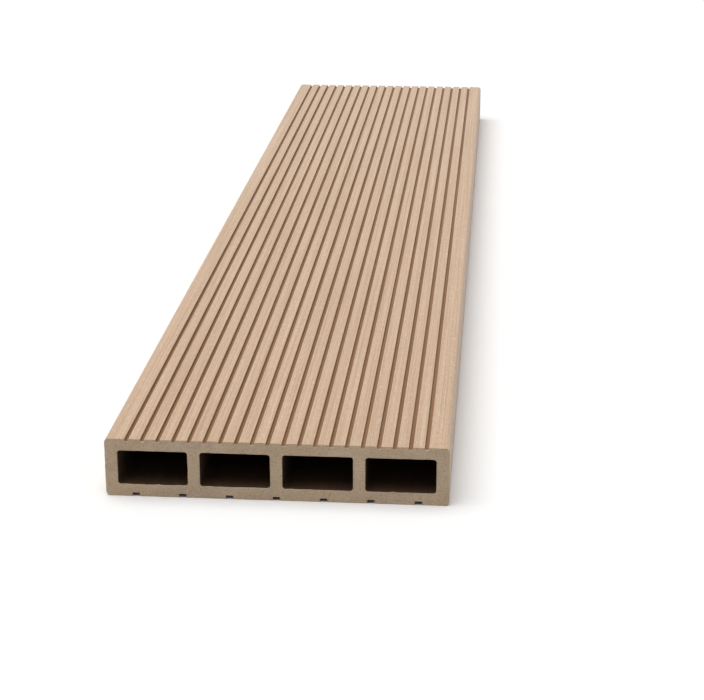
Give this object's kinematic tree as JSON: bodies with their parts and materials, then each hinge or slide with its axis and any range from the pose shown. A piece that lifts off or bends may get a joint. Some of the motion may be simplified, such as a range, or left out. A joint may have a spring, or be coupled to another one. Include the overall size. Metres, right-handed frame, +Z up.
{
  "type": "composite fence board",
  "caption": "Hollow composite fence board: an extruded wood-plastic plank with a fine-grooved face, a broad-grooved back and open chambers running from end to end.",
  "frame": {"origin": "centre of the board's footprint, in the plane of its broad-grooved back, on which it lies", "axes": "+X across the width, +Y along the length, +Z up through the thickness, out of the fine-grooved face"},
  "size_m": [0.14, 0.75, 0.025],
  "materials": {
    "wood_plastic_composite": "matte"
  },
  "bodies": {
    "root": {"fence_board": "wood_plastic_composite"}
  },
  "joints": []
}
